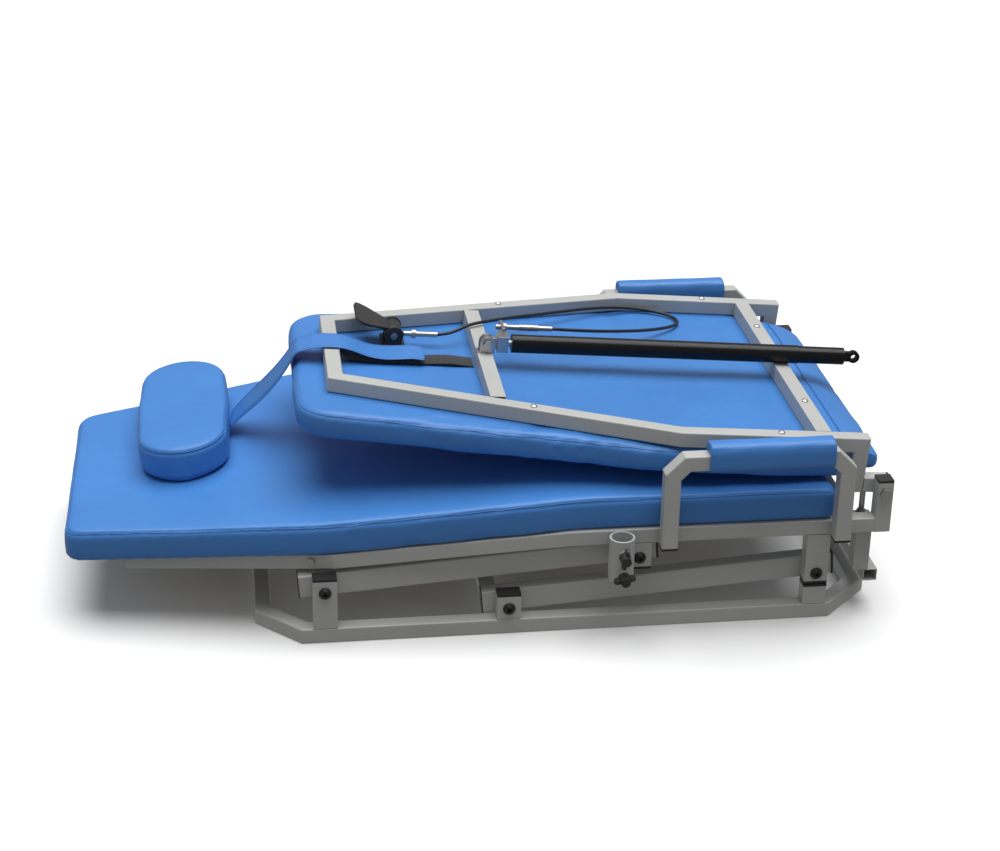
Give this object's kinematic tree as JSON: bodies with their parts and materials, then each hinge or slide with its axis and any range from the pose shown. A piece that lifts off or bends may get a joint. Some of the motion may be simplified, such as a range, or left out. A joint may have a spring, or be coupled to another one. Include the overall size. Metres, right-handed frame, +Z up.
{
  "type": "folding treatment couch",
  "caption": "Folding padded couch-chair with a parallelogram lift base, hinged backrest, armrests and a lockable gas spring, shown folded flat.",
  "frame": {"origin": "centre of the overall box, on the floor under the base loop", "axes": "+X towards the hip hinge, +Y towards the far side without the pole socket, +Z up"},
  "size_m": [1.1556, 0.663, 0.3403],
  "materials": {
    "painted_tube": "satin grey powder coat",
    "black_cap": "matte moulded plastic",
    "black_bolt": "black oxide",
    "zinc": "bright zinc plate",
    "plywood": "raw plywood",
    "blue_vinyl": "blue upholstery vinyl over foam",
    "knob_plastic": "black moulded plastic",
    "spring_paint": "gloss black paint",
    "cable_jacket": "smooth black jacket",
    "hook_webbing": "black hook tape"
  },
  "bodies": {
    "base": {"base_loop": "painted_tube", "front_posts": "painted_tube", "rear_posts": "painted_tube", "rest_stubs": "painted_tube", "base_caps": "black_cap", "lower_pivot_bolts": "black_bolt", "lower_pivot_nuts": "zinc"},
    "front_legs": {"front_leg_tubes": "painted_tube", "front_leg_crossbar": "painted_tube", "front_leg_caps": "black_cap"},
    "rear_legs": {"rear_leg_tubes": "painted_tube", "rear_leg_crossbar": "painted_tube", "rear_leg_caps": "black_cap"},
    "seat": {"seat_rails": "painted_tube", "seat_crossbars": "painted_tube", "front_hangers": "painted_tube", "rear_hangers": "painted_tube", "seat_caps": "black_cap", "upper_pivot_bolts": "black_bolt", "upper_pivot_nuts": "zinc", "hinge_posts": "painted_tube", "hinge_bolts": "zinc", "drop_tubes": "painted_tube", "stop_bolts": "zinc", "anchor_tube": "painted_tube", "seat_board": "plywood", "seat_pad": "blue_vinyl", "seat_side_bolts": "zinc", "pole_socket": "painted_tube", "armrest_frames": "painted_tube", "near_armrest_pad": "blue_vinyl", "far_armrest_pad": "blue_vinyl", "armrest_caps": "black_cap", "armrest_standoffs": "zinc"},
    "upper_knob": {"upper_wing_knob": "knob_plastic"},
    "lower_knob": {"lower_wing_knob": "knob_plastic"},
    "backrest": {"back_rails": "painted_tube", "back_crossbars": "painted_tube", "hinge_arms": "painted_tube", "hinge_arm_caps": "black_cap", "back_board": "plywood", "back_pad": "blue_vinyl", "back_screws": "zinc", "spring_clevis": "zinc", "clevis_pin": "zinc", "lever_bracket": "knob_plastic", "lever_pin": "zinc", "lever_cable_fitting": "zinc", "cable_jacket": "cable_jacket", "head_strap": "blue_vinyl", "hook_tape": "hook_webbing"},
    "lever": {"release_lever": "knob_plastic"},
    "spring_head": {"spring_head": "zinc", "head_cable_fitting": "zinc", "spring_sleeve": "spring_paint", "spring_rod": "zinc"},
    "spring_cylinder": {"spring_cylinder": "spring_paint"},
    "headrest": {"strap_tail": "blue_vinyl", "head_pillow": "blue_vinyl"}
  },
  "joints": [
    {"name": "front_lift", "type": "hinge", "parent": "base", "child": "front_legs", "pos_m": [-0.22826, 0.0115, 0.077], "axis": [0, -1, 0], "range_deg": [0, 75]},
    {"name": "seat_level", "type": "hinge", "parent": "front_legs", "child": "seat", "pos_m": [0.20059, 0.0115, 0.10849], "axis": [0, -1, 0], "range_deg": [-75, 0]},
    {"name": "rear_lift", "type": "hinge", "parent": "base", "child": "rear_legs", "pos_m": [0.02224, 0.0115, 0.039], "axis": [0, -1, 0], "range_deg": [0, 75]},
    {"name": "recline", "type": "hinge", "parent": "seat", "child": "backrest", "pos_m": [0.53924, 0.0115, 0.19], "axis": [0, 1, 0], "range_deg": [0, 165]},
    {"name": "lever_press", "type": "hinge", "parent": "backrest", "child": "lever", "pos_m": [-0.10565, 0.093, 0.30541], "axis": [0, -1, 0], "range_deg": [0, 15], "stiffness_Nm_per_rad": 1, "springref_deg": -5.73},
    {"name": "spring_swing", "type": "hinge", "parent": "backrest", "child": "spring_head", "pos_m": [0.0235, 0.0115, 0.31482], "axis": [0, -1, 0], "range_deg": [0, 35]},
    {"name": "spring_stroke", "type": "slide", "parent": "spring_head", "child": "spring_cylinder", "axis": [0.9969, 0, -0.0792], "range_m": [0, 0.15]},
    {"name": "pillow_swing", "type": "hinge", "parent": "backrest", "child": "headrest", "pos_m": [-0.2525, 0.0235, 0.31306], "axis": [0, 1, 0], "range_deg": [0, 100]},
    {"name": "upper_knob_turn", "type": "hinge", "parent": "seat", "child": "upper_knob", "pos_m": [0.17174, -0.3185, 0.132], "axis": [0, -1, 0], "continuous": true},
    {"name": "lower_knob_turn", "type": "hinge", "parent": "seat", "child": "lower_knob", "pos_m": [0.17174, -0.3185, 0.101], "axis": [0, -1, 0], "continuous": true}
  ],
  "couplings": [
    {"joint": "seat_level", "follows": "front_lift", "ratio": -1},
    {"joint": "rear_lift", "follows": "front_lift", "ratio": 1}
  ]
}
